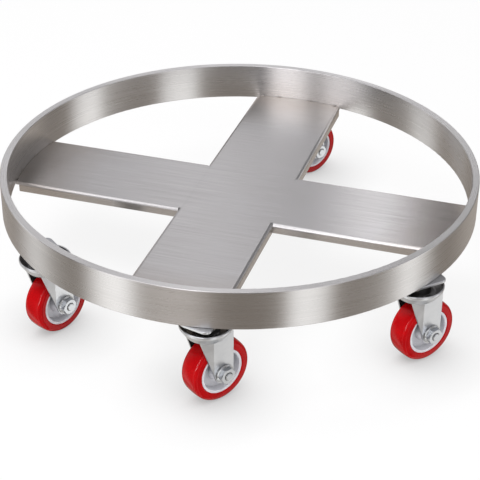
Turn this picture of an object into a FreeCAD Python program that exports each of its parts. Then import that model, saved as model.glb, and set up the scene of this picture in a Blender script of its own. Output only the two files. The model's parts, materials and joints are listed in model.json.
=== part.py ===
import FreeCAD, Part
import math
import os

# Round drum trolley: a hoop on a cross of sheet channels, carried by four swivel casters.
# The origin is on the deck's top face, on the ring's axis, with +Z up and the long bar along Y.
# Lengths are in millimetres and angles in degrees.

# Ring: a hoop of rolled flat bar, sized for a 200 litre drum
ring_inner_diameter = 609.6
ring_wall = 9.5
ring_height = 50.8
ring_edge_round = 1.0

# Deck: folded channels with their flanges down
deck_width = 130.0
sheet_gauge = 3.0
channel_depth = 12.7
channel_bend_radius = 4.5
arm_end_gap = 0.4
arm_angles = (0.0, 90.0, 180.0, 270.0)
flange_setback = 5.0
flange_plate_clearance = 2.0

# Welds of the frame
tack_radius = 1.8
tack_length = 6.0
tack_place_shares = (-0.43, -0.12, 0.24, 0.43)
joint_weld_clearance = 0.03
plate_weld_leg = 3.5
plate_weld_inset = 1.0

# Casters: where the swivel axes stand round the ring, how far inside its wall they are,
# how each plate is turned, and where each wheel trails to
front_inset = 15.8
right_inset = 8.4
back_inset = 2.1
left_inset = 20.9
caster_insets = {"front": front_inset, "right": right_inset, "back": back_inset, "left": left_inset}
caster_angles = {"front": 279.6, "right": 334.7, "back": 88.3, "left": 228.1}
plate_turns = {"front": -14.0, "right": -44.0, "back": 90.0, "left": 50.0}
caster_headings = {"front": 55.3, "right": 51.5, "back": 57.0, "left": 65.3}
caster_trail = 12.5

# Top plate, with a raceway pressed down round the kingpin
plate_length = 60.0
plate_width = 42.0
plate_thickness = 4.0
plate_corner_radius = 8.0
plate_edge_chamfer = 0.8
raceway_width = 8.0
raceway_drop = 13.4

# Swivel bearing: kingpin, two rows of balls and the lower race
kingpin_diameter = 12.0
kingpin_head_diameter = 17.0
kingpin_countersink = 2.5
kingpin_rivet_height = 2.5
kingpin_rivet_chamfer = 1.2
upper_ball_diameter = 6.35
upper_ball_circle = 26.0
upper_ball_count = 12
lower_ball_diameter = 4.76
lower_ball_circle = 22.0
lower_ball_count = 10
race_gap_share = 0.72
ball_clearance = 0.05
ball_sides = 8
ball_bands = 4
lower_race_diameter = 30.0
lower_race_thickness = 2.5
running_clearance = 0.05

# Fork: one stamping, with a round dished crown and two legs folded along a crease
fork_gauge = 2.5
crown_diameter = 66.0
crown_floor_diameter = 49.0
crown_floor_bend = 5.0
crown_band_height = 3.5
crown_band_bend = 4.0
crown_rim_gap = 4.5
crown_rim_round = 1.1
rivet_tyre_clearance = 3.1
tyre_side_clearance = 1.6
leg_front_reach = 20.7
leg_end_radius = 13.5
leg_shoulder_radius = 11.0
leg_crease = -3.0
leg_fold_angle = 8.0

# Wheel: moulded tyre on a dished hub
wheel_diameter = 83.0
tyre_width = 29.8
tyre_depth = 11.8
tyre_shoulder_radius = 5.5
tyre_inner_round = 1.0
hub_rim_setback = 0.9
hub_rim_wall = 3.2
hub_web_thickness = 9.0
hub_boss_diameter = 26.0
hub_boss_setback = 0.6
hub_draft = 2.2
hub_corner_round = 1.8
hub_edge_round = 0.8

# Axle: bolt, nut, clamped sleeve and the flanged bushes that turn on it
axle_bolt_diameter = 10.0
axle_hole_clearance = 0.2
hex_across_flats = 17.0
bolt_head_height = 5.5
nut_height = 4.6
bolt_end_length = 1.4
bolt_end_chamfer = 0.8
sleeve_wall = 1.6
bush_wall = 2.4
bush_length = 12.0
bush_flange_thickness = 1.1
bush_flange_rim = 3.0

# Working values
overrun = 1.0
point_tolerance = 1e-6
half_turn = 180.0
full_turn = 360.0
hex_sides = 6
hex_chamfer_angle = 30.0
V = FreeCAD.Vector
ORIGIN = V(0, 0, 0)
X_AXIS = V(1, 0, 0)
Y_AXIS = V(0, 1, 0)
Z_AXIS = V(0, 0, 1)

# Radii and places worked out from the driving sizes
ring_inner_radius = ring_inner_diameter / 2
ring_outer_radius = ring_inner_radius + ring_wall
arm_reach = ring_inner_radius - arm_end_gap
half_deck = deck_width / 2
wheel_radius = wheel_diameter / 2
hub_radius = wheel_radius - tyre_depth
crown_radius = crown_diameter / 2
crown_floor_radius = crown_floor_diameter / 2
kingpin_radius = kingpin_diameter / 2
bolt_radius = axle_bolt_diameter / 2
sleeve_radius = bolt_radius + axle_hole_clearance + sleeve_wall
bush_bore_radius = sleeve_radius + running_clearance
bush_radius = bush_bore_radius + bush_wall
leg_inner = tyre_width / 2 + tyre_side_clearance
leg_outer = leg_inner + fork_gauge
hub_rim_half = tyre_width / 2 - hub_rim_setback
hub_boss_half = tyre_width / 2 - hub_boss_setback

# Heights, from the ring's lower edge down to the floor
ring_bottom_z = -sheet_gauge
plate_bottom_z = ring_bottom_z - plate_thickness
raceway_z = plate_bottom_z - raceway_drop
upper_gap = upper_ball_diameter * race_gap_share
upper_ball_z = raceway_z - upper_gap / 2
crown_top_z = raceway_z - upper_gap
crown_bottom_z = crown_top_z - fork_gauge
crown_rim_z = plate_bottom_z - crown_rim_gap
lower_gap = lower_ball_diameter * race_gap_share
lower_ball_z = crown_bottom_z - lower_gap / 2
lower_race_top_z = crown_bottom_z - lower_gap
lower_race_bottom_z = lower_race_top_z - lower_race_thickness
rivet_end_z = lower_race_bottom_z - kingpin_rivet_height
tyre_top_z = rivet_end_z - rivet_tyre_clearance
axle_z = tyre_top_z - wheel_radius


# Helpers for outlines and solids of revolution
def rounded_face(corners):
    """A flat face from (point, corner radius) pairs in order round its outline."""
    bends = []
    for index, (point, radius) in enumerate(corners):
        before = (corners[index - 1][0] - point).normalize()
        after = (corners[(index + 1) % len(corners)][0] - point).normalize()
        half_angle = before.getAngle(after) / 2
        reach = radius / math.tan(half_angle)
        inward = (before + after).normalize() if radius else V(before)
        middle = point + inward * (radius / math.sin(half_angle) - radius)
        bends.append((point + before * reach, middle, point + after * reach, radius))
    edges = []
    for index, (enter, middle, leave, radius) in enumerate(bends):
        if radius:
            edges.append(Part.Arc(enter, middle, leave).toShape())
        start_of_next = bends[(index + 1) % len(bends)][0]
        if leave.distanceToPoint(start_of_next) > point_tolerance:
            edges.append(Part.makeLine(leave, start_of_next))
    return Part.Face(Part.Wire(edges))


def turned(corners):
    """A solid of revolution about Z from (radius, height, corner radius) corners."""
    face = rounded_face([(V(radius, 0, height), bend) for radius, height, bend in corners])
    return face.revolve(ORIGIN, Z_AXIS, full_turn)


def tube(inner, outer, low, high):
    """A plain ring about Z."""
    return turned([(inner, low, 0), (outer, low, 0), (outer, high, 0), (inner, high, 0)])


def rod(radius, low, high):
    """A plain cylinder about Z."""
    return Part.makeCylinder(radius, high - low, V(0, 0, low))


def slab(low, high):
    """A box between two opposite corners."""
    size = high - low
    return Part.makeBox(size.x, size.y, size.z, low)


def along_axle(shape):
    """Lays a solid made about Z along a wheel's axle, in the caster's own frame."""
    shape = shape.copy()
    shape.rotate(ORIGIN, X_AXIS, -half_turn / 2)
    shape.translate(V(caster_trail, 0, axle_z))
    return shape


def polar(radius, degrees, height=0):
    angle = math.radians(degrees)
    return V(radius * math.cos(angle), radius * math.sin(angle), height)


# Frame
def make_ring():
    return turned([
        (ring_inner_radius, ring_bottom_z, ring_edge_round),
        (ring_outer_radius, ring_bottom_z, ring_edge_round),
        (ring_outer_radius, ring_bottom_z + ring_height, ring_edge_round),
        (ring_inner_radius, ring_bottom_z + ring_height, ring_edge_round),
    ])


def make_channel():
    """A folded channel along Y, longer than the ring is wide."""
    inside = half_deck - sheet_gauge
    inner_bend = channel_bend_radius - sheet_gauge
    face = rounded_face([
        (V(-half_deck, 0, -channel_depth), 0),
        (V(-half_deck, 0, 0), channel_bend_radius),
        (V(half_deck, 0, 0), channel_bend_radius),
        (V(half_deck, 0, -channel_depth), 0),
        (V(inside, 0, -channel_depth), 0),
        (V(inside, 0, -sheet_gauge), inner_bend),
        (V(-inside, 0, -sheet_gauge), inner_bend),
        (V(-inside, 0, -channel_depth), 0),
    ])
    face.translate(V(0, -ring_outer_radius, 0))
    return face.extrude(Y_AXIS * 2 * ring_outer_radius)


def fitted_to_ring(channel):
    """Cuts a channel's web to the ring's curve, and its flanges a little shorter."""
    below = -channel_depth - overrun
    web = channel.common(rod(arm_reach, below, overrun))
    flange_end = ring_inner_radius - flange_setback
    return web.cut(tube(flange_end, ring_outer_radius, below, -sheet_gauge))


def notched(arm, *ends):
    """Cuts the tack notches into the ends of an arm that point at these angles."""
    for arm_angle, bearing in tack_places():
        if arm_angle in ends:
            arm = arm.cut(make_tack_notch(bearing))
    return arm


def swivel_axis(caster):
    """Where a caster's swivel axis stands."""
    return polar(ring_inner_radius - caster_insets[caster], caster_angles[caster])


def front_flange_end():
    """The Y where the long bar's flanges stop at the front, short of the caster plate there."""
    skew = math.radians(plate_turns["front"])
    plate_reach = plate_length / 2 * abs(math.cos(skew)) + plate_width / 2 * abs(math.sin(skew))
    return swivel_axis("front").y + plate_reach + flange_plate_clearance


def make_long_bar():
    bar = fitted_to_ring(make_channel())
    trim = slab(
        V(-half_deck - overrun, -ring_outer_radius, -channel_depth - overrun),
        V(half_deck + overrun, front_flange_end(), -sheet_gauge),
    )
    along = half_turn / 2
    return notched(bar.cut(trim), along, full_turn - along)


def make_side_arm(degrees):
    """A short channel from the long bar's side out to the ring; 0 degrees lies along +X."""
    arm = make_channel()
    arm.rotate(ORIGIN, Z_AXIS, -half_turn / 2)
    inner = slab(
        V(-ring_outer_radius - overrun, -deck_width, -channel_depth - overrun),
        V(half_deck, deck_width, overrun),
    )
    arm = fitted_to_ring(arm.cut(inner))
    arm.rotate(ORIGIN, Z_AXIS, degrees)
    return notched(arm, degrees)


def tack_places():
    """Each tack's arm angle and bearing round the ring."""
    places = []
    for arm_angle in arm_angles:
        for share in tack_place_shares:
            offset = math.degrees(math.asin(share * deck_width / ring_inner_radius))
            places.append((arm_angle, arm_angle + offset))
    return places


def swept_round_ring(edges, bearing):
    """Sweeps an outline in the XZ plane a tack's length round the ring."""
    span = math.degrees(tack_length / ring_inner_radius)
    solid = Part.Face(Part.Wire(edges)).revolve(ORIGIN, Z_AXIS, span)
    solid.rotate(ORIGIN, Z_AXIS, bearing - span / 2)
    return solid


def make_tack(bearing):
    """One short bead that fills a notch in an arm's end and laps up the ring's wall."""
    toe = ring_inner_radius - tack_radius
    middle_share = math.sqrt(2) / 2
    middle = V(ring_inner_radius - tack_radius * middle_share, 0, tack_radius * middle_share)
    low = V(ring_inner_radius, 0, -sheet_gauge)
    top = V(ring_inner_radius, 0, tack_radius)
    return swept_round_ring([
        Part.makeLine(top, low),
        Part.makeLine(low, V(toe, 0, -sheet_gauge)),
        Part.makeLine(V(toe, 0, -sheet_gauge), V(toe, 0, 0)),
        Part.Arc(V(toe, 0, 0), middle, top).toShape(),
    ], bearing)


def make_tack_notch(bearing):
    """The notch in an arm's end that a tack fills."""
    toe = ring_inner_radius - tack_radius
    corners = [
        V(toe, 0, -sheet_gauge),
        V(ring_outer_radius, 0, -sheet_gauge),
        V(ring_outer_radius, 0, overrun),
        V(toe, 0, overrun),
    ]
    return swept_round_ring(Part.makePolygon(corners + corners[:1]).Edges, bearing)


def make_joint_weld(side):
    """The ground-flush run between a side arm and the long bar's rounded edge."""
    leg = 2 * channel_bend_radius - math.sqrt(2) * (channel_bend_radius + joint_weld_clearance)
    length = deck_width - 2 * channel_bend_radius
    start = -length / 2
    face = rounded_face([
        (V(side * half_deck, start, 0), 0),
        (V(side * half_deck, start, -leg), 0),
        (V(side * (half_deck - leg), start, 0), 0),
    ])
    return face.extrude(Y_AXIS * length)


# Caster pieces, each made round its own swivel axis
def make_top_plate():
    half_width = plate_width / 2
    half_length = plate_length / 2
    plate = rounded_face([
        (V(-half_width, -half_length, plate_bottom_z), plate_corner_radius),
        (V(half_width, -half_length, plate_bottom_z), plate_corner_radius),
        (V(half_width, half_length, plate_bottom_z), plate_corner_radius),
        (V(-half_width, half_length, plate_bottom_z), plate_corner_radius),
    ]).extrude(Z_AXIS * plate_thickness)
    flat_edges = [edge for edge in plate.Edges if edge.BoundBox.ZLength < point_tolerance]
    plate = plate.makeChamfer(plate_edge_chamfer, flat_edges)
    race_inner = (upper_ball_circle - raceway_width) / 2
    race_outer = (upper_ball_circle + raceway_width) / 2
    middle_z = plate_bottom_z + plate_thickness / 2
    plate = plate.fuse(tube(race_inner, race_outer, raceway_z, middle_z))
    groove = Part.makeTorus(
        upper_ball_circle / 2, upper_ball_diameter / 2 + ball_clearance, V(0, 0, upper_ball_z)
    )
    return plate.cut(groove).cut(make_kingpin()).removeSplitter()


def make_kingpin():
    head_radius = kingpin_head_diameter / 2
    return turned([
        (0, ring_bottom_z, 0),
        (0, rivet_end_z, 0),
        (head_radius - kingpin_rivet_chamfer, rivet_end_z, 0),
        (head_radius, rivet_end_z + kingpin_rivet_chamfer, 0),
        (head_radius, lower_race_bottom_z, 0),
        (kingpin_radius, lower_race_bottom_z, 0),
        (kingpin_radius, ring_bottom_z - kingpin_countersink, 0),
        (head_radius, ring_bottom_z, 0),
    ])


def make_lower_race():
    radius = lower_race_diameter / 2
    race = tube(kingpin_radius, radius, lower_race_bottom_z, lower_race_top_z)
    groove = Part.makeTorus(
        lower_ball_circle / 2, lower_ball_diameter / 2 + ball_clearance, V(0, 0, lower_ball_z)
    )
    return race.cut(groove)


def make_ball(radius):
    """A bearing ball with flat facets, its corners on the true sphere."""
    rings = []
    for band in range(1, ball_bands):
        tilt = math.pi * band / ball_bands
        height = radius * math.cos(tilt)
        rings.append([
            polar(radius * math.sin(tilt), full_turn * side / ball_sides, height)
            for side in range(ball_sides)
        ])
    top = V(0, 0, radius)
    bottom = V(0, 0, -radius)
    faces = []
    for side in range(ball_sides):
        after = (side + 1) % ball_sides
        outlines = [[top, rings[0][side], rings[0][after]]]
        outlines.append([bottom, rings[-1][after], rings[-1][side]])
        for upper, lower in zip(rings, rings[1:]):
            outlines.append([upper[side], lower[side], lower[after], upper[after]])
        for outline in outlines:
            faces.append(Part.Face(Part.makePolygon(outline + outline[:1])))
    return Part.makeSolid(Part.makeShell(faces))


def make_ball_row(diameter, circle, count, height):
    balls = []
    for index in range(count):
        bearing = full_turn * index / count
        ball = make_ball(diameter / 2)
        ball.rotate(ORIGIN, Z_AXIS, bearing)
        ball.translate(polar(circle / 2, bearing, height))
        balls.append(ball)
    return Part.makeCompound(balls)


def tangent_point(outside, centre, radius):
    """Where a line from an outside point first touches a circle in the XZ plane."""
    offset = outside - centre
    bearing = math.atan2(offset.z, offset.x)
    bearing += math.acos(radius / offset.Length)
    return centre + V(radius * math.cos(bearing), 0, radius * math.sin(bearing))


def make_leg_outline():
    """Both legs' outline seen along the axle, drawn through the whole fork."""
    axle = V(caster_trail, 0, axle_z)
    front = V(-leg_front_reach, 0, crown_top_z)
    front_touch = tangent_point(front, axle, leg_end_radius)
    lowest = axle - Z_AXIS * leg_end_radius
    rear = axle + X_AXIS * leg_end_radius
    top_z = crown_rim_z - crown_band_height
    shoulder = V(rear.x - leg_shoulder_radius, 0, top_z)
    shoulder_centre = shoulder - Z_AXIS * leg_shoulder_radius
    shoulder_middle = shoulder_centre + (X_AXIS + Z_AXIS).normalize() * leg_shoulder_radius
    shoulder_end = shoulder_centre + X_AXIS * leg_shoulder_radius
    front_top = V(front.x, 0, top_z)
    face = Part.Face(Part.Wire([
        Part.makeLine(front_top, shoulder),
        Part.Arc(shoulder, shoulder_middle, shoulder_end).toShape(),
        Part.makeLine(shoulder_end, rear),
        Part.Arc(rear, lowest, front_touch).toShape(),
        Part.makeLine(front_touch, front),
        Part.makeLine(front, front_top),
    ]))
    face.translate(-Y_AXIS * leg_outer)
    return face.extrude(Y_AXIS * 2 * leg_outer)


def make_leg_sheet(side):
    """One leg's sheet seen from above: flat at the rear, folded inward ahead of the crease."""
    fold = math.radians(leg_fold_angle)
    lead = -leg_front_reach - overrun
    tail = caster_trail + leg_end_radius + overrun
    drop = (leg_crease - lead) * math.tan(fold)
    slant_gauge = fork_gauge / math.cos(fold)
    inner_crease = leg_crease + fork_gauge * math.tan(fold / 2)
    low_z = axle_z - leg_end_radius - overrun
    face = rounded_face([
        (V(tail, side * leg_outer, low_z), 0),
        (V(leg_crease, side * leg_outer, low_z), 0),
        (V(lead, side * (leg_outer - drop), low_z), 0),
        (V(lead, side * (leg_outer - drop - slant_gauge), low_z), 0),
        (V(inner_crease, side * leg_inner, low_z), 0),
        (V(tail, side * leg_inner, low_z), 0),
    ])
    return face.extrude(Z_AXIS * (crown_rim_z - low_z))


def make_fork():
    hole_radius = kingpin_radius + running_clearance
    band_z = crown_rim_z - crown_band_height
    flare = (crown_radius - crown_floor_radius) / (band_z - crown_bottom_z)
    wall_shift = fork_gauge * math.hypot(1, flare)
    inner_radius = crown_radius - fork_gauge
    inner_band_z = band_z + (wall_shift - fork_gauge) / flare
    inner_floor_radius = crown_floor_radius + flare * fork_gauge - wall_shift
    inner_wall = [
        (inner_radius, inner_band_z, crown_band_bend + fork_gauge),
        (inner_floor_radius, crown_top_z, crown_floor_bend - fork_gauge),
    ]
    crown = turned([
        (hole_radius, crown_bottom_z, 0),
        (crown_floor_radius, crown_bottom_z, crown_floor_bend),
        (crown_radius, band_z, crown_band_bend),
        (crown_radius, crown_rim_z, crown_rim_round),
        (inner_radius, crown_rim_z, crown_rim_round),
        *inner_wall,
        (hole_radius, crown_top_z, 0),
    ])
    hollow = turned([
        (0, crown_rim_z + overrun, 0),
        (inner_radius, crown_rim_z + overrun, 0),
        *inner_wall,
        (0, crown_top_z, 0),
    ])
    outline = make_leg_outline()
    legs = [make_leg_sheet(side).common(outline).cut(hollow) for side in (-1, 1)]
    fork = crown.fuse(legs[0]).fuse(legs[1])
    upper = Part.makeTorus(
        upper_ball_circle / 2, upper_ball_diameter / 2 + ball_clearance, V(0, 0, upper_ball_z)
    )
    lower = Part.makeTorus(
        lower_ball_circle / 2, lower_ball_diameter / 2 + ball_clearance, V(0, 0, lower_ball_z)
    )
    hole = along_axle(rod(bolt_radius + axle_hole_clearance, -leg_outer - overrun, leg_outer + overrun))
    return fork.cut(upper).cut(lower).cut(hole).removeSplitter()


def make_hex(height):
    """A hexagon from the XY plane up, with its upper corners chamfered."""
    corner_radius = hex_across_flats / math.sqrt(3)
    flat_radius = hex_across_flats / 2
    corners = [polar(corner_radius, full_turn * side / hex_sides) for side in range(hex_sides)]
    prism = Part.Face(Part.makePolygon(corners + corners[:1])).extrude(Z_AXIS * height)
    fall = (corner_radius - flat_radius) * math.tan(math.radians(hex_chamfer_angle))
    crown = turned([
        (0, 0, 0),
        (corner_radius, 0, 0),
        (corner_radius, height - fall, 0),
        (flat_radius, height, 0),
        (0, height, 0),
    ])
    return prism.common(crown)


def make_axle_bolt():
    """The bolt with its head towards +Z, before it is laid along the axle."""
    end = -leg_outer - nut_height - bolt_end_length
    shank = turned([
        (0, end, 0),
        (bolt_radius - bolt_end_chamfer, end, 0),
        (bolt_radius, end + bolt_end_chamfer, 0),
        (bolt_radius, leg_outer, 0),
        (0, leg_outer, 0),
    ])
    head = make_hex(bolt_head_height)
    head.translate(Z_AXIS * leg_outer)
    return along_axle(shank.fuse(head).removeSplitter())


def make_axle_nut():
    nut = make_hex(nut_height).cut(rod(bolt_radius, -overrun, nut_height + overrun))
    nut.rotate(ORIGIN, X_AXIS, half_turn)
    nut.translate(-Z_AXIS * leg_outer)
    return along_axle(nut)


def make_axle_sleeve():
    return along_axle(tube(bolt_radius + axle_hole_clearance, sleeve_radius, -leg_inner, leg_inner))


def make_wheel_bushes():
    flange_radius = bush_radius + bush_flange_rim
    bush = turned([
        (bush_bore_radius, hub_boss_half + bush_flange_thickness, 0),
        (bush_bore_radius, hub_boss_half - bush_length, 0),
        (bush_radius, hub_boss_half - bush_length, 0),
        (bush_radius, hub_boss_half, 0),
        (flange_radius, hub_boss_half, 0),
        (flange_radius, hub_boss_half + bush_flange_thickness, 0),
    ])
    other = bush.copy()
    other.rotate(ORIGIN, X_AXIS, half_turn)
    return along_axle(Part.makeCompound([bush, other]))


def make_hub():
    boss_radius = hub_boss_diameter / 2
    rim_radius = hub_radius - hub_rim_wall
    half_web = hub_web_thickness / 2
    lower_side = [
        (bush_radius, -hub_boss_half, 0),
        (boss_radius, -hub_boss_half, hub_edge_round),
        (boss_radius + hub_draft, -half_web, hub_corner_round),
        (rim_radius - hub_draft, -half_web, hub_corner_round),
        (rim_radius, -hub_rim_half, hub_edge_round),
        (hub_radius, -hub_rim_half, 0),
    ]
    upper_side = [(radius, -height, bend) for radius, height, bend in reversed(lower_side)]
    return along_axle(turned(lower_side + upper_side))


def make_tyre():
    half_width = tyre_width / 2
    return along_axle(turned([
        (hub_radius, -half_width, tyre_inner_round),
        (wheel_radius, -half_width, tyre_shoulder_radius),
        (wheel_radius, half_width, tyre_shoulder_radius),
        (hub_radius, half_width, tyre_inner_round),
    ]))


def make_plate_welds(caster):
    """The beads along the plate's edges where they pass under the ring."""
    under_ring = tube(
        ring_inner_radius + plate_weld_inset,
        ring_outer_radius - plate_weld_inset,
        ring_bottom_z - plate_weld_leg,
        ring_bottom_z,
    )
    quarter_turn = half_turn / 2
    edges = [(plate_length, plate_width), (plate_width, plate_length)] * 2
    beads = []
    for index, (across, along) in enumerate(edges):
        run = along - 2 * plate_corner_radius
        end = across / 2
        bead = rounded_face([
            (V(-run / 2, end, ring_bottom_z), 0),
            (V(-run / 2, end + plate_weld_leg, ring_bottom_z), 0),
            (V(-run / 2, end, ring_bottom_z - plate_weld_leg), 0),
        ]).extrude(X_AXIS * run)
        turn = plate_turns[caster] + index * quarter_turn
        beads += placed(bead, caster, turn).common(under_ring).Solids
    # A run that is shorter than it is wide is left out
    least = plate_weld_leg ** 3 / 2
    return [bead for bead in beads if bead.Volume > least]


def placed(shape, caster, turn):
    """Stands a caster piece on its swivel axis under the ring, turned about that axis."""
    shape = shape.copy()
    shape.rotate(ORIGIN, Z_AXIS, turn)
    shape.translate(swivel_axis(caster))
    return shape


def make_nodes():
    """Every piece of the trolley by its name."""
    tacks = [make_tack(bearing) for arm_angle, bearing in tack_places()]
    nodes = {
        "ring": make_ring(),
        "long_bar": make_long_bar(),
        "right_arm": make_side_arm(0),
        "left_arm": make_side_arm(half_turn),
        "arm_end_tacks": Part.makeCompound(tacks),
        "arm_joint_welds": Part.makeCompound([make_joint_weld(side) for side in (-1, 1)]),
    }
    fixed = {
        "top_plate": make_top_plate(),
        "kingpin": make_kingpin(),
        "lower_race": make_lower_race(),
    }
    turning = {
        "fork": make_fork(),
        "upper_balls": make_ball_row(
            upper_ball_diameter, upper_ball_circle, upper_ball_count, upper_ball_z
        ),
        "lower_balls": make_ball_row(
            lower_ball_diameter, lower_ball_circle, lower_ball_count, lower_ball_z
        ),
        "axle_bolt": make_axle_bolt(),
        "axle_nut": make_axle_nut(),
        "axle_sleeve": make_axle_sleeve(),
        "hub": make_hub(),
        "tyre": make_tyre(),
        "wheel_bushes": make_wheel_bushes(),
    }
    plate_welds = []
    for caster in caster_angles:
        plate_welds += make_plate_welds(caster)
        for name, shape in fixed.items():
            nodes[f"{caster}_{name}"] = placed(shape, caster, plate_turns[caster])
        for name, shape in turning.items():
            nodes[f"{caster}_{name}"] = placed(shape, caster, caster_headings[caster])
    nodes["plate_welds"] = Part.makeCompound(plate_welds)
    return nodes


os.makedirs("parts", exist_ok=True)
for node_name, node_shape in make_nodes().items():
    node_shape.exportStep(f"parts/{node_name}.step")
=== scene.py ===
import json
import math

import bmesh
import bpy
from mathutils import Matrix, Vector


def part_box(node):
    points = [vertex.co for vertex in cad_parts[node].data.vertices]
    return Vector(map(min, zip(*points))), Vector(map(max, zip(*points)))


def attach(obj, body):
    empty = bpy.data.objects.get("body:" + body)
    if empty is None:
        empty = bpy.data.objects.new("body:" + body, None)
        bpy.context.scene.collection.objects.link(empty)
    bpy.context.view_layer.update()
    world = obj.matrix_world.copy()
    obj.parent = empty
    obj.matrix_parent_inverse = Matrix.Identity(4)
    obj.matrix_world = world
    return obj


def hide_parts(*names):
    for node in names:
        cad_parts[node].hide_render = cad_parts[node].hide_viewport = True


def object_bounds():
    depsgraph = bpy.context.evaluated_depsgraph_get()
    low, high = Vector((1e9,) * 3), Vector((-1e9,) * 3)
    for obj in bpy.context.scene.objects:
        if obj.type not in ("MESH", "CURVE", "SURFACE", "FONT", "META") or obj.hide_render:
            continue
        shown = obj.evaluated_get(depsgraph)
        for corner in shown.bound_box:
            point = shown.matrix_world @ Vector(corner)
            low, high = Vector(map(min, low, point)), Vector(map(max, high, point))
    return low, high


# Round drum trolley: finishes, tyres, nuts, welds, bearing balls, studio and camera.
# Lengths are in metres and angles in degrees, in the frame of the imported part.
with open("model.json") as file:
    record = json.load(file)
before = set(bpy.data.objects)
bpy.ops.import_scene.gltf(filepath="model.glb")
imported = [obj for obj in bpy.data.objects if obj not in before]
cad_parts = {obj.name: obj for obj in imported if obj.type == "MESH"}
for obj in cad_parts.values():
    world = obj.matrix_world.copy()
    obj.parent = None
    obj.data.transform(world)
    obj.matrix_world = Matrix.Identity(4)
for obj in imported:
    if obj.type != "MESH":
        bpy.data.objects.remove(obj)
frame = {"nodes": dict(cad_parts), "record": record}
cad_low, cad_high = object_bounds()
nodes = frame["nodes"]
node_slots = {row["node"]: row["material_slot"] for row in frame["record"]["subparts"]}
node_bodies = {
    node: body for body, members in frame["record"]["behaviour"]["bodies"].items() for node in members
}
joints = {row["child"]: row for row in frame["record"]["behaviour"]["joints"]}
CASTERS = ("front", "right", "back", "left")

# Camera: the photograph's own viewpoint
CAMERA_PLACE = (0.4859, -1.5776, 0.9316)
CAMERA_HEADING = 17.08
CAMERA_PITCH = 31.33
CAMERA_ROLL = 0.47
CAMERA_LENS_MM = 106.06

# World: soft panels that the metal reflects, each as (azimuth, half width, strength)
WALL_LEVEL = 0.26
WALL_PANELS = (
    (13.5, 8.5, 1.2),
    (72, 18, 0.24),
    (140, 12, 0.2),
    (178, 9, 0.75),
    (226, 10, 1.2),
    (258, 14, 0.2),
    (320, 9, 1.1),
)
SKY_LEVEL = 0.5
SKY_PANELS = (
    (17, 12, 0.3),
    (72, 22, -0.3),
    (97.9, 2.0, -0.42),
    (100.5, 1.3, 1.1),
    (104.2, 1.7, -0.15),
    (110, 4, 0.24),
    (118, 6, -0.06),
    (174, 12, 0.7),
    (206, 12, -0.35),
    (231, 10, 1.3),
    (261, 9, 1.7),
    (290, 14, -0.3),
    (324, 11, 0.35),
)
OVERHEAD_RANGE = (0.8, 0.97)
OVERHEAD_LEVEL = 0.6
HORIZON_RANGE = (-0.04, 0.14)
PANEL_CORE_SHARE = 0.3
PANEL_EDGE_SHARE = 1.5
PANEL_SHADE = (1, 0.82, 0.66)
PANEL_LIGHT = (1, 0.985, 0.965)
SKY_TINT = (1, 0.975, 1)
WHITE = (1, 1, 1, 1)

# Floor: white to the camera, with a painted contact shadow close to the wheels
FLOOR_SPAN = 40.0
FLOOR_COLOUR = (0.75, 0.75, 0.75, 1)
FLOOR_GLOW_SHARE = 0.86
CONTACT_SHADOW_REACH = 0.1
CONTACT_SHADOW_TONE = 0.35

# Lamps on the whole part, each as (name, place, span, power)
LAMPS = (
    ("key", (-0.7, -0.5, 2.4), 1.8, 44.0),
    ("fill", (1.6, -1.4, 1.5), 1.2, 10.0),
)

# Lamps that only some finishes see, each as (name, finishes, place, aim, spans, power)
BOUNCE_LIFT = 0.001
ZINC_FINISHES = ("zinc_plate", "fastener")
STRIPS = (
    ("tyre_strip", ("polyurethane",), (-0.75, -1.67, 0.5), (0.8, 1.39, -0.45), (0.4, 1.1), 25.0),
    ("front_strip", ZINC_FINISHES, (0.1, -1.5, 0.12), (-0.1, 1.5, 0), (0.5, 0.35), 1.2),
    ("ring_strip", ("ring",), (-0.77, 2.5, 1.48), (0.77, -2.5, -1.48), (1.6, 0.8), 2.0),
    ("floor_bounce", ZINC_FINISHES, (0, 0, cad_low.z + BOUNCE_LIFT), (0, 0, 1), (1.4, 1.4), 1.5),
)

# Brushed steel: scales along and across the lines, then tones, a warm darker tint towards the ring, and
# roughness
GRAIN_ALONG = 9
GRAIN_ACROSS = 1100
GRAIN_BUMP = (0.1, 0.00006)
STREAK_ALONG = 6
RING_STREAK_ACROSS = 330
RING_STREAK_SHARE = 0.35
DECK_STREAK_ACROSS = 380
DECK_STREAK_SHARE = 0.5
DECK_STREAK_RANGE = (0.38, 0.64)
STEEL_DARK = (0.63, 0.625, 0.62)
STEEL_PALE = (0.75, 0.745, 0.74)
STEEL_STREAK = (0.56, 0.555, 0.55)
STEEL_CLOUD = (0.7, 0.7, 0.71)
STEEL_CLOUD_SCALE = 14
STEEL_CLOUD_SHARE = 0.35
RING_EDGE_TINT = (0.5, 0.44, 0.385)
RING_EDGE_RADII = (0.2, 0.3)
RING_EDGE_SHARES = (0.45, 0.9)
RING_ROUGHNESS = (0.25, 0.33)
DECK_ROUGHNESS = (0.2, 0.26)
STEEL_ANISOTROPY = 0.95
STEEL_LINE_TURN = 0.25

# Weld metal
WELD_GRAIN_SCALE = 900
WELD_TINT_SCALE = 160
WELD_DARK = (0.36, 0.33, 0.31)
WELD_PALE = (0.62, 0.59, 0.56)
WELD_ROUGHNESS = (0.3, 0.55)
WELD_BUMP = (0.3, 0.0003)

# Zinc plate, with painted shade in its recesses
ZINC_CLOUD_SCALE = 70
ZINC_SPECK_SCALE = 900
ZINC_SPECK = (0.5, 0.51, 0.52)
ZINC_SPECK_SHARE = 0.3
ZINC_SPECK_RANGE = (0.55, 0.75)
ZINC_SPECK_ROUGHNESS = 0.05
ZINC_BUMP = (0.02, 0.0004)
# Painted shade: the dark colour laid into sheltered recesses
ZINC_RECESS_SHADE = (0.2, 0.194, 0.188)
ZINC_SHADE_REACH = 0.02
ZINC_SHADE_RANGE = (0.2, 0.8)

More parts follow.
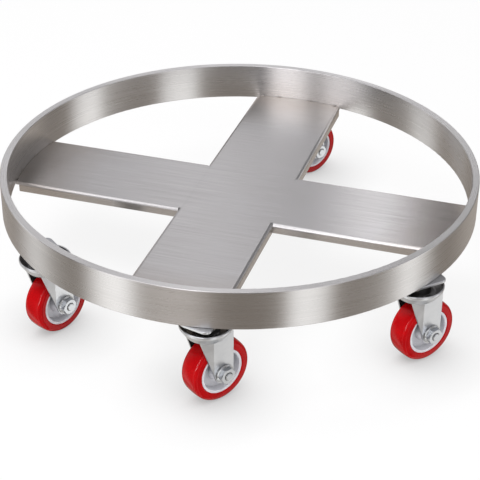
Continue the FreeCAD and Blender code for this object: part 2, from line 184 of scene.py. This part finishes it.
# Bearing steel
BEARING_FILM_SCALE = 320
BEARING_DARK = (0.5, 0.5, 0.51)
BEARING_PALE = (0.62, 0.61, 0.59)
BEARING_ROUGHNESS = (0.1, 0.28)

# Polyurethane
TYRE_SKIN_SCALE = 420
TYRE_RUB_SCALE = 60
TYRE_DARK = (0.41, 0.002, 0.004)
TYRE_PALE = (0.48, 0.004, 0.006)
TYRE_ROUGHNESS = (0.08, 0.14)
TYRE_BUMP = (0.04, 0.0006)
TYRE_SPECULAR = 0.1

# Moulded plastic, with dusty patches, and painted shade in its recesses
PLASTIC_GRAIN_SCALE = 1500
PLASTIC_DUST_SCALE = 90
PLASTIC_ROUGHNESS_SPREAD = 0.06
PLASTIC_BUMP = (0.05, 0.0003)
# Painted shade: how far the recess darkening reaches, its range, and how dark it gets
PLASTIC_SHADE_REACH = 0.03
PLASTIC_SHADE_RANGE = (0.12, 0.52)
PLASTIC_SHADE_FACTOR = 0.4

# Turned pieces: their smoothness, then the tyres, nuts and bolt ends
TURNED_STEPS = 96
TURNED_SHARP_ANGLE = 28
ARC_STEPS = 8
TREAD_STEPS = 4
TYRE_CROWN_RADIUS = 0.09
TYRE_SHOULDER_RADIUS = 0.0056
TYRE_LIP_ROUND = 0.001
NUT_HEIGHT = 0.0085
NUT_FLAT_RADIUS = 0.0095
NUT_FLANGE_RADIUS = 0.0122
NUT_FLANGE_HEIGHT = 0.0014
NUT_FLANGE_SLOPE = 0.0024
NUT_CHAMFER_ANGLE = 30
NUT_BORE_CHAMFER = 0.0007
BOLT_END_LENGTH = 0.0016
BOLT_END_CHAMFER = 0.0009
BOLT_PINHOLE_PART = 96

# Bearing balls and welds
BALL_SEGMENTS = 24
BALL_MERGE_DISTANCE = 0.000001
JOINT_WELD_CLEARANCE = 0.00003
BEAD_DETAIL = 0.0004
BEAD_RIPPLE_SPAN = 0.0022
BEAD_RIPPLE_DEPTH = 0.0012

# Nodes: the range that holds most of a noise, and a Mix node's colour sockets, which share their names
NOISE_START = 0.3
NOISE_END = 0.7
MIX_INPUTS = (0, 6, 7)
MIX_OUTPUT = 2
SHELTER_SAMPLES = 8


# Node helpers
class Nodes:
    """A node tree with short ways to add and join its nodes."""

    def __init__(self, tree):
        self.tree = tree

    def add(self, kind, **settings):
        node = self.tree.nodes.new(kind)
        for setting, value in settings.items():
            setattr(node, setting, value)
        return node

    def join(self, source, target):
        self.tree.links.new(source, target)

    def feed(self, socket, value):
        """Gives a socket another socket's value, or a fixed one."""
        if isinstance(value, bpy.types.NodeSocket):
            self.join(value, socket)
        else:
            socket.default_value = value

    def math(self, operation, first, second):
        node = self.add("ShaderNodeMath", operation=operation)
        self.feed(node.inputs[0], first)
        self.feed(node.inputs[1], second)
        return node.outputs[0]

    def scaled(self, vector, scale):
        node = self.add("ShaderNodeVectorMath", operation="MULTIPLY")
        self.join(vector, node.inputs[0])
        node.inputs[1].default_value = scale
        return node.outputs[0]

    def flattened(self, vector):
        """A vector without its height."""
        return self.scaled(vector, (1, 1, 0))

    def ranged(self, value, low, high, start=NOISE_START, end=NOISE_END, curve="LINEAR"):
        """Maps a value from start..end to low..high, held at both ends."""
        node = self.add("ShaderNodeMapRange", interpolation_type=curve)
        self.join(value, node.inputs["Value"])
        node.inputs["From Min"].default_value = start
        node.inputs["From Max"].default_value = end
        node.inputs["To Min"].default_value = low
        node.inputs["To Max"].default_value = high
        return node.outputs["Result"]

    def mixed(self, factor, first, second):
        """A colour between two others; each is a socket or an RGB triple."""
        node = self.add("ShaderNodeMix", data_type="RGBA")
        for place, value in zip(MIX_INPUTS, (factor, first, second)):
            self.feed(node.inputs[place], (*value, 1) if isinstance(value, tuple) else value)
        return node.outputs[MIX_OUTPUT]

    def show(self, factor, first, second, output_kind):
        """Puts a blend of two shaders on the tree's output."""
        blend = self.add("ShaderNodeMixShader")
        self.join(factor, blend.inputs["Fac"])
        self.join(first.outputs[0], blend.inputs[1])
        self.join(second.outputs[0], blend.inputs[2])
        self.join(blend.outputs[0], self.add(output_kind).inputs["Surface"])


class Shading(Nodes):
    """A material's nodes, with its principled shader at hand."""

    def __init__(self, name):
        self.material = bpy.data.materials.new(name)
        self.material.use_nodes = True
        super().__init__(self.material.node_tree)
        self.shader = self.tree.nodes["Principled BSDF"]

    def set(self, **inputs):
        """Sets the shader's own sockets, with underscores for the spaces in their names."""
        for name, value in inputs.items():
            self.shader.inputs[name.replace("_", " ")].default_value = value

    def surface(self, tone, roughness):
        self.join(tone, self.shader.inputs["Base Color"])
        self.join(roughness, self.shader.inputs["Roughness"])

    def bump(self, height, strength, distance):
        node = self.add("ShaderNodeBump")
        self.join(height, node.inputs["Height"])
        node.inputs["Strength"].default_value = strength
        node.inputs["Distance"].default_value = distance
        self.join(node.outputs["Normal"], self.shader.inputs["Normal"])

    def place(self):
        """The point on the piece, in the part's frame."""
        return self.add("ShaderNodeTexCoord").outputs["Object"]

    def radius(self, point):
        """A point's distance from the ring's axis."""
        node = self.add("ShaderNodeVectorMath", operation="LENGTH")
        self.join(self.flattened(point), node.inputs[0])
        return node.outputs["Value"]

    def noise(self, vector, scale=1.0, detail=3.0, roughness=0.5, w=None):
        node = self.add("ShaderNodeTexNoise", noise_dimensions="3D" if w is None else "4D")
        self.join(vector, node.inputs["Vector"])
        if w is not None:
            self.join(w, node.inputs["W"])
        node.inputs["Scale"].default_value = scale
        node.inputs["Detail"].default_value = detail
        node.inputs["Roughness"].default_value = roughness
        return node.outputs["Fac"]

    def shelter(self, reach, start, end):
        """One in a deep recess, zero in the open."""
        node = self.add("ShaderNodeAmbientOcclusion", samples=SHELTER_SAMPLES)
        node.inputs["Distance"].default_value = reach
        return self.ranged(node.outputs["AO"], 1, 0, start, end)


# Finishes
def brushed_steel(name, along_ring):
    """Brushed stainless; the lines run round the ring, or along X on the deck."""
    s = Shading(name)
    point = s.place()
    radius = s.radius(point)
    clouds = s.noise(point, scale=STEEL_CLOUD_SCALE, detail=3)
    if along_ring:
        grain_place = s.scaled(point, (GRAIN_ALONG, GRAIN_ALONG, GRAIN_ACROSS))
        outward = s.math("MULTIPLY", radius, GRAIN_ACROSS)
        lines = s.noise(grain_place, detail=4, roughness=0.65, w=outward)
        streak_place = s.scaled(point, (STREAK_ALONG, STREAK_ALONG, RING_STREAK_ACROSS))
        streaks = s.noise(streak_place, detail=3, roughness=0.6)
        streak_share = s.ranged(streaks, 0, RING_STREAK_SHARE)
        roughness = s.ranged(lines, *RING_ROUGHNESS)
        tangent = s.add("ShaderNodeTangent", direction_type="RADIAL", axis="Z")
    else:
        grain_place = s.scaled(point, (GRAIN_ALONG, GRAIN_ACROSS, GRAIN_ACROSS))
        lines = s.noise(grain_place, detail=4, roughness=0.65)
        streak_place = s.scaled(point, (STREAK_ALONG, DECK_STREAK_ACROSS, DECK_STREAK_ACROSS))
        streaks = s.noise(streak_place, detail=4, roughness=0.7)
        streak_share = s.ranged(streaks, 0, DECK_STREAK_SHARE, *DECK_STREAK_RANGE)
        roughness = s.ranged(streaks, *DECK_ROUGHNESS)
        tangent = s.add("ShaderNodeCombineXYZ")
        tangent.inputs["X"].default_value = 1
    s.join(tangent.outputs[0], s.shader.inputs["Tangent"])
    tone = s.mixed(s.ranged(lines, 0, 1), STEEL_DARK, STEEL_PALE)
    tone = s.mixed(streak_share, tone, STEEL_STREAK)
    tone = s.mixed(s.ranged(clouds, 0, STEEL_CLOUD_SHARE), tone, STEEL_CLOUD)
    # A darker, warm tint on the deck towards the ring, in clouds
    if not along_ring:
        ring_edge_tint = s.math("MULTIPLY", s.ranged(radius, 0, 1, *RING_EDGE_RADII), s.ranged(clouds, *RING_EDGE_SHARES))
        tone = s.mixed(ring_edge_tint, tone, RING_EDGE_TINT)
    s.surface(tone, roughness)
    s.bump(lines, *GRAIN_BUMP)
    s.set(Metallic=1.0, Anisotropic=STEEL_ANISOTROPY, Anisotropic_Rotation=STEEL_LINE_TURN)
    return s.material


def weld_steel(name):
    """As-welded metal, lightly brushed, with heat tint."""
    s = Shading(name)
    point = s.place()
    grain = s.noise(point, scale=WELD_GRAIN_SCALE, detail=4)
    tint = s.noise(point, scale=WELD_TINT_SCALE, detail=2)
    s.surface(s.mixed(s.ranged(tint, 0, 1), WELD_DARK, WELD_PALE), s.ranged(grain, *WELD_ROUGHNESS))
    s.bump(grain, *WELD_BUMP)
    s.set(Metallic=1.0)
    return s.material


def zinc_plate(name, dark, pale, roughness):
    """Zinc plate: cool and a little cloudy, with painted shade in its recesses."""
    s = Shading(name)
    point = s.place()
    clouds = s.noise(point, scale=ZINC_CLOUD_SCALE, detail=3)
    specks = s.noise(point, scale=ZINC_SPECK_SCALE, detail=3)
    tone = s.mixed(s.ranged(clouds, 0, 1), dark, pale)
    tone = s.mixed(s.ranged(specks, 0, ZINC_SPECK_SHARE, *ZINC_SPECK_RANGE), tone, ZINC_SPECK)
    # Painted shade: darker where the surface is sheltered in a recess
    tone = s.mixed(s.shelter(ZINC_SHADE_REACH, *ZINC_SHADE_RANGE), tone, ZINC_RECESS_SHADE)
    s.surface(tone, s.math("ADD", s.ranged(clouds, *roughness), s.ranged(specks, 0, ZINC_SPECK_ROUGHNESS)))
    s.bump(clouds, *ZINC_BUMP)
    s.set(Metallic=1.0)
    return s.material


def bearing_steel(name):
    """Hardened steel under a thin film of grease."""
    s = Shading(name)
    film = s.noise(s.place(), scale=BEARING_FILM_SCALE, detail=2)
    s.surface(s.mixed(s.ranged(film, 0, 1), BEARING_DARK, BEARING_PALE), s.ranged(film, *BEARING_ROUGHNESS))
    s.set(Metallic=1.0)
    return s.material


def polyurethane(name):
    """Glossy red tyre with a faint moulded skin and rubbed patches."""
    s = Shading(name)
    point = s.place()
    skin = s.noise(point, scale=TYRE_SKIN_SCALE, detail=2)
    rubs = s.noise(point, scale=TYRE_RUB_SCALE, detail=4)
    s.surface(s.mixed(s.ranged(rubs, 0, 1), TYRE_DARK, TYRE_PALE), s.ranged(rubs, *TYRE_ROUGHNESS))
    s.bump(skin, *TYRE_BUMP)
    s.set(Specular_IOR_Level=TYRE_SPECULAR)
    return s.material


def moulded_plastic(name, dark, pale, roughness):
    """Satin moulded plastic with a fine grain and dusty patches, and painted shade in its recesses."""
    s = Shading(name)
    point = s.place()
    grain = s.noise(point, scale=PLASTIC_GRAIN_SCALE, detail=2)
    dust = s.noise(point, scale=PLASTIC_DUST_SCALE, detail=4)
    # Painted shade: a darker copy of the plastic's colour, laid into its recesses
    shaded = tuple(PLASTIC_SHADE_FACTOR * part for part in dark)
    tone = s.mixed(s.ranged(dust, 0, 1), dark, pale)
    tone = s.mixed(s.shelter(PLASTIC_SHADE_REACH, *PLASTIC_SHADE_RANGE), tone, shaded)
    smoothest = roughness - PLASTIC_ROUGHNESS_SPREAD
    roughest = roughness + PLASTIC_ROUGHNESS_SPREAD
    s.surface(tone, s.ranged(dust, smoothest, roughest))
    s.bump(grain, *PLASTIC_BUMP)
    return s.material


finishes = {
    "stainless": brushed_steel("brushed_steel_deck", along_ring=False),
    "ring": brushed_steel("brushed_steel_ring", along_ring=True),
    "weld": weld_steel("weld_steel"),
    "zinc_plate": zinc_plate(
        "zinc_plate", dark=(0.57, 0.59, 0.615), pale=(0.65, 0.67, 0.69), roughness=(0.27, 0.34)
    ),
    "fastener": zinc_plate(
        "fastener_zinc", dark=(0.5, 0.52, 0.545), pale=(0.58, 0.605, 0.63), roughness=(0.22, 0.28)
    ),
    "bearing_steel": bearing_steel("bearing_steel"),
    "polyurethane": polyurethane("red_polyurethane"),
    "hub_plastic": moulded_plastic(
        "hub_plastic", dark=(0.7, 0.71, 0.75), pale=(0.8, 0.81, 0.84), roughness=0.42
    ),
    "bush_plastic": moulded_plastic(
        "bush_plastic", dark=(0.76, 0.75, 0.71), pale=(0.84, 0.83, 0.79), roughness=0.5
    ),
}
# The finish that each piece wears, for the lamps that only some finishes see
worn = {}


def finish_key(node):
    """The finish of a node: its slot's, but the ring and the fasteners have their own."""
    if node == "ring":
        return "ring"
    if node.endswith(("_axle_bolt", "_axle_nut")):
        return "fastener"
    return node_slots[node]


for node_name, node_piece in nodes.items():
    worn[node_piece] = finish_key(node_name)
    for material_slot in node_piece.material_slots:
        material_slot.material = finishes[finish_key(node_name)]


# New pieces
def mesh_of(form, name):
    """The mesh of a finished form."""
    mesh = bpy.data.meshes.new(name)
    form.to_mesh(mesh)
    form.free()
    return mesh


def add_piece(name, mesh, node, finish):
    """Links a piece that rides with a node's body and wears the given finish."""
    mesh.materials.append(finishes[finish])
    piece = bpy.data.objects.new(name, mesh)
    bpy.context.scene.collection.objects.link(piece)
    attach(piece, node_bodies[node])
    worn[piece] = finish
    return piece


def stand_in(name, mesh, node, finish):
    """A piece that takes a node's place in the picture."""
    piece = add_piece(name, mesh, node, finish)
    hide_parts(node)
    return piece


def axle_of(caster):
    """The middle of a wheel and the direction of its axle."""
    spin = joints[f"{caster}_wheel"]
    return Vector(spin["pos_m"]), Vector(spin["axis"]).normalized()


def measured(node, caster):
    """A node's least and greatest reach along its axle, and its least and greatest radius."""
    centre, axis = axle_of(caster)
    along = [(vertex.co - centre).dot(axis) for vertex in nodes[node].data.vertices]
    radii = [
        (vertex.co - centre - axis * reach).length
        for vertex, reach in zip(nodes[node].data.vertices, along)
    ]
    return min(along), max(along), min(radii), max(radii)


def arc_angles(end):
    """Even steps from a right angle to another angle, in radians."""
    quarter = math.pi / 2
    return [quarter + (end - quarter) * step / ARC_STEPS for step in range(ARC_STEPS + 1)]


def turned_mesh(name, caster, outline):
    """A closed mesh round an axle; the outline gives (along, radius) corners at an angle."""
    centre, axis = axle_of(caster)
    upward = Vector((0, 0, 1))
    sideways = axis.cross(upward)
    turn = bmesh.new()
    columns = []
    for step in range(TURNED_STEPS):
        angle = 2 * math.pi * step / TURNED_STEPS
        outward = upward * math.cos(angle) + sideways * math.sin(angle)
        columns.append([
            turn.verts.new(centre + axis * along + outward * radius) for along, radius in outline(angle)
        ])
    for column, after in zip(columns, columns[1:] + columns[:1]):
        for index in range(len(column)):
            turn.faces.new((column[index - 1], column[index], after[index], after[index - 1]))
    bmesh.ops.recalc_face_normals(turn, faces=turn.faces)
    mesh = mesh_of(turn, name)
    mesh.shade_smooth()
    mesh.set_sharp_from_angle(angle=math.radians(TURNED_SHARP_ANGLE))
    return mesh


# Tyres
def add_tyre(caster):
    """A tyre with a crowned tread and full shoulders, inside the plain one; the metal doesn't mirror it."""
    node = f"{caster}_tyre"
    low_end, high_end, inner, outer = measured(node, caster)
    half = (high_end - low_end) / 2
    middle = (high_end + low_end) / 2
    crown, shoulder = TYRE_CROWN_RADIUS, TYRE_SHOULDER_RADIUS
    lean = math.asin((half - shoulder) / (crown - shoulder))
    shoulder_radius = outer - crown + (crown - shoulder) * math.cos(lean)
    right_half = [(half - TYRE_LIP_ROUND, inner), (half, inner + TYRE_LIP_ROUND)]
    for angle in arc_angles(lean):
        along = half - shoulder + shoulder * math.sin(angle)
        right_half.append((along, shoulder_radius + shoulder * math.cos(angle)))
    for step in reversed(range(TREAD_STEPS)):
        angle = lean * (step / TREAD_STEPS)
        right_half.append((crown * math.sin(angle), outer - crown + crown * math.cos(angle)))
    corners = right_half + [(-along, radius) for along, radius in reversed(right_half[:-1])]
    outline = [(middle + along, radius) for along, radius in corners]
    tyre = stand_in(f"{node}_crowned", turned_mesh(node, caster, lambda angle: outline), node, "polyurethane")
    tyre.visible_glossy = False


# Axle nuts
def add_nut(caster):
    """A full-height flanged nut, and the end of the bolt that stands out of it."""
    node = f"{caster}_axle_nut"
    _, seat, bore, _ = measured(node, caster)
    top = seat - NUT_HEIGHT
    fall = math.tan(math.radians(NUT_CHAMFER_ANGLE))

    def nut_outline(angle):
        sixth = math.pi / 3
        hexagon = NUT_FLAT_RADIUS / math.cos((angle + sixth / 2) % sixth - sixth / 2)
        return [
            (seat, bore),
            (seat, NUT_FLANGE_RADIUS),
            (seat - NUT_FLANGE_HEIGHT, NUT_FLANGE_RADIUS),
            (seat - NUT_FLANGE_SLOPE, hexagon),
            (top + (hexagon - NUT_FLAT_RADIUS) * fall, hexagon),
            (top, NUT_FLAT_RADIUS),
            (top, bore + NUT_BORE_CHAMFER),
            (top + NUT_BORE_CHAMFER, bore),
        ]

    stand_in(f"{node}_flanged", turned_mesh(node, caster, nut_outline), node, "fastener")
    end = top - BOLT_END_LENGTH
    # A pinhole on the axle keeps the turned mesh free of a pole
    pinhole = bore / BOLT_PINHOLE_PART
    bolt_end = [
        (seat, pinhole),
        (seat, bore),
        (end + BOLT_END_CHAMFER, bore),
        (end, bore - BOLT_END_CHAMFER),
        (end, pinhole),
    ]
    name = f"{caster}_bolt_end"
    add_piece(name, turned_mesh(name, caster, lambda angle: bolt_end), node, "fastener")


for caster_name in CASTERS:
    add_tyre(caster_name)
    add_nut(caster_name)


# Ground welds between the arms and the long bar
def add_joint_welds():
    """Flush runs that fill the grooves along the long bar's rounded edges."""
    node = "arm_joint_welds"
    half_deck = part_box("long_bar")[1].x
    run_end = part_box(node)[1].y
    bend = half_deck - run_end
    reach = bend + JOINT_WELD_CLEARANCE
    section = [(half_deck, 0)]
    for angle in arc_angles(math.acos(bend / reach)):
        across = min(half_deck, half_deck - bend + reach * math.sin(angle))
        section.append((across, reach * math.cos(angle) - bend))
    welds = bmesh.new()
    for side in (-1, 1):
        ends = [
            [welds.verts.new((side * across, place, height)) for across, height in section]
            for place in (-run_end, run_end)
        ]
        for end in ends:
            welds.faces.new(end)
        for index in range(len(section)):
            welds.faces.new((ends[0][index - 1], ends[0][index], ends[1][index], ends[1][index - 1]))
    bmesh.ops.recalc_face_normals(welds, faces=welds.faces)
    stand_in(f"{node}_ground", mesh_of(welds, node), node, "stainless")


add_joint_welds()


# Bearing balls
def ball_places(node):
    """The centre and radius of each ball in a row, read from the node's own solids."""
    solids = bmesh.new()
    solids.from_mesh(nodes[node].data)
    bmesh.ops.remove_doubles(solids, verts=solids.verts, dist=BALL_MERGE_DISTANCE)
    places = []
    left = set(solids.verts)
    while left:
        ball = {left.pop()}
        edge = list(ball)
        while edge:
            near = {v for link in edge.pop().link_edges for v in link.verts} - ball
            ball |= near
            edge += near
        left -= ball
        low_corner = Vector([min(v.co[axis] for v in ball) for axis in range(3)])
        high_corner = Vector([max(v.co[axis] for v in ball) for axis in range(3)])
        places.append(((low_corner + high_corner) / 2, (high_corner.z - low_corner.z) / 2))
    solids.free()
    return places


def add_balls(node):
    """True spheres in place of a row of faceted balls."""
    row = bmesh.new()
    for centre, radius in ball_places(node):
        bmesh.ops.create_uvsphere(
            row,
            u_segments=BALL_SEGMENTS,
            v_segments=BALL_SEGMENTS // 2,
            radius=radius,
            matrix=Matrix.Translation(centre),
        )
    mesh = mesh_of(row, f"{node}_round")
    mesh.shade_smooth()
    stand_in(f"{node}_round", mesh, node, "bearing_steel")


for caster_name in CASTERS:
    add_balls(f"{caster_name}_upper_balls")
    add_balls(f"{caster_name}_lower_balls")


# Weld beads
def ripple_bead(node):
    """Gives a plain bead the uneven skin of a hand weld, cut into its own solid."""
    skin = nodes[node].modifiers.new("skin", "REMESH")
    skin.mode = "VOXEL"
    skin.voxel_size = BEAD_DETAIL
    skin.use_smooth_shade = True
    ripple = nodes[node].modifiers.new("ripple", "DISPLACE")
    ripple.texture = bpy.data.textures.new(f"{node}_ripple", "CLOUDS")
    ripple.texture.noise_scale = BEAD_RIPPLE_SPAN
    ripple.texture_coords = "LOCAL"
    ripple.strength = BEAD_RIPPLE_DEPTH
    ripple.mid_level = 1


for bead in ("arm_end_tacks", "plate_welds"):
    ripple_bead(bead)


# Studio
def add_floor():
    """A plain floor that keeps the part's shadow, with a painted contact shadow in its glow, and that the
    metal doesn't mirror.
    """
    mesh = bpy.data.meshes.new("floor")
    half = FLOOR_SPAN / 2
    corners = [(x, y, cad_low.z) for x, y in ((-half, -half), (half, -half), (half, half), (-half, half))]
    mesh.from_pydata(corners, [], [(0, 1, 2, 3)])
    floor = bpy.data.objects.new("floor", mesh)
    bpy.context.scene.collection.objects.link(floor)
    material = bpy.data.materials.new("floor_white")
    material.use_nodes = True
    n = Nodes(material.node_tree)
    n.tree.nodes.clear()
    diffuse = n.add("ShaderNodeBsdfDiffuse")
    diffuse.inputs["Color"].default_value = FLOOR_COLOUR
    # Painted contact shadow: the floor's glow dims where the part stands close above it
    contact_shadow = n.add("ShaderNodeAmbientOcclusion")
    contact_shadow.inputs["Distance"].default_value = CONTACT_SHADOW_REACH
    glow = n.add("ShaderNodeEmission")
    n.join(n.ranged(contact_shadow.outputs["AO"], CONTACT_SHADOW_TONE, 1, 0, 1), glow.inputs["Strength"])
    camera_ray = n.add("ShaderNodeLightPath").outputs["Is Camera Ray"]
    n.show(n.math("MULTIPLY", camera_ray, FLOOR_GLOW_SHARE), diffuse, glow, "ShaderNodeOutputMaterial")
    mesh.materials.append(material)
    floor.visible_glossy = False


def panel_sum(n, direction, level, panels):
    """The brightness of a ring of soft panels, seen in a direction."""
    total = level
    for azimuth, half_width, strength in panels:
        angle = math.radians(azimuth)
        facing = n.add("ShaderNodeVectorMath", operation="DOT_PRODUCT")
        n.join(direction, facing.inputs[0])
        facing.inputs[1].default_value = (math.cos(angle), math.sin(angle), 0)
        edge = math.cos(math.radians(half_width * PANEL_EDGE_SHARE))
        core = math.cos(math.radians(half_width * PANEL_CORE_SHARE))
        panel = n.ranged(facing.outputs["Value"], 0, strength, edge, core, "SMOOTHSTEP")
        total = n.math("ADD", panel, total)
    return total


def build_world():
    """White to the camera; soft panels round and above the part for everything else."""
    world = bpy.data.worlds.new("studio")
    bpy.context.scene.world = world
    world.use_nodes = True
    n = Nodes(world.node_tree)
    n.tree.nodes.clear()
    direction = n.add("ShaderNodeTexCoord").outputs["Generated"]
    level = n.add("ShaderNodeVectorMath", operation="NORMALIZE")
    n.join(n.flattened(direction), level.inputs[0])
    parts = n.add("ShaderNodeSeparateXYZ")
    n.join(direction, parts.inputs[0])
    above = n.ranged(parts.outputs["Z"], 0, 1, *HORIZON_RANGE)
    overhead = n.ranged(parts.outputs["Z"], 0, OVERHEAD_LEVEL, *OVERHEAD_RANGE, "SMOOTHSTEP")
    wall = panel_sum(n, level.outputs[0], WALL_LEVEL, WALL_PANELS)
    sky = n.math("ADD", panel_sum(n, level.outputs[0], SKY_LEVEL, SKY_PANELS), overhead)
    strength = n.add("ShaderNodeMix")
    n.join(above, strength.inputs["Factor"])
    n.join(wall, strength.inputs["A"])
    n.join(sky, strength.inputs["B"])
    warmth = n.mixed(wall, PANEL_SHADE, PANEL_LIGHT)
    studio = n.add("ShaderNodeBackground")
    n.join(strength.outputs["Result"], studio.inputs["Strength"])
    n.join(n.mixed(above, warmth, SKY_TINT), studio.inputs["Color"])
    white = n.add("ShaderNodeBackground")
    white.inputs["Color"].default_value = WHITE
    camera_ray = n.add("ShaderNodeLightPath").outputs["Is Camera Ray"]
    n.show(camera_ray, studio, white, "ShaderNodeOutputWorld")


def new_light(name, shape, place, aim, spans, power):
    lamp = bpy.data.lights.new(name, "AREA")
    lamp.shape = shape
    lamp.size, lamp.size_y = spans
    lamp.energy = power
    light = bpy.data.objects.new(name, lamp)
    light.location = place
    light.rotation_euler = Vector(aim).to_track_quat("-Z", "Y").to_euler()
    bpy.context.scene.collection.objects.link(light)
    return light


def add_lamp(name, place, span, power):
    """A round lamp aimed at the part, which the metal doesn't mirror."""
    lamp = new_light(name, "DISK", place, -Vector(place), (span, span), power)
    lamp.visible_glossy = False


def add_strip(name, lit_finishes, place, aim, spans, power):
    """A lamp that only the pieces of some finishes see, as a highlight."""
    strip = new_light(name, "RECTANGLE", place, aim, spans, power)
    strip.visible_camera = False
    strip.visible_diffuse = False
    seen_by = bpy.data.collections.new(f"{name}_seen_by")
    for piece, finish in worn.items():
        if finish in lit_finishes:
            seen_by.objects.link(piece)
    strip.light_linking.receiver_collection = seen_by


def add_camera():
    data = bpy.data.cameras.new("camera")
    data.lens = CAMERA_LENS_MM
    camera = bpy.data.objects.new("camera", data)
    turn = Matrix.Rotation(math.radians(CAMERA_HEADING), 4, "Z")
    tilt = Matrix.Rotation(math.radians(90 - CAMERA_PITCH), 4, "X")
    roll = Matrix.Rotation(math.radians(CAMERA_ROLL), 4, "Z")
    camera.matrix_world = Matrix.Translation(CAMERA_PLACE) @ turn @ tilt @ roll
    bpy.context.scene.collection.objects.link(camera)
    bpy.context.scene.camera = camera


add_floor()
build_world()
for lamp_values in LAMPS:
    add_lamp(*lamp_values)
for strip_values in STRIPS:
    add_strip(*strip_values)
add_camera()
bpy.context.scene.view_settings.view_transform = "Standard"
